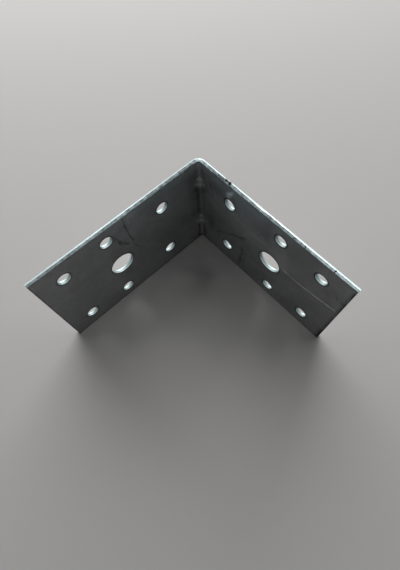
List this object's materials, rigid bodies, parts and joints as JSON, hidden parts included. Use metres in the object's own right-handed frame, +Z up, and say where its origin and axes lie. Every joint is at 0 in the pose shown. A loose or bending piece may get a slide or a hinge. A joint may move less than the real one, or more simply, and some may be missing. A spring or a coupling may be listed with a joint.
{
  "type": "corner brace bracket",
  "caption": "Folded galvanised sheet-metal corner brace: two flat legs at a right angle, each with pairs of screw holes and a larger bolt hole.",
  "frame": {"origin": "heel: the sharp corner that the two outer faces would make, at the lower cut edge", "axes": "+X along the longer leg, +Y along the other leg, +Z up along the fold, away from the edge that the bracket stands on"},
  "size_m": [0.09, 0.0885, 0.06],
  "materials": {
    "zinc": "hot-dip galvanised, dull grey with a soft sheen, brighter on the sheared edges"
  },
  "bodies": {
    "root": {"bracket": "zinc"}
  },
  "joints": []
}
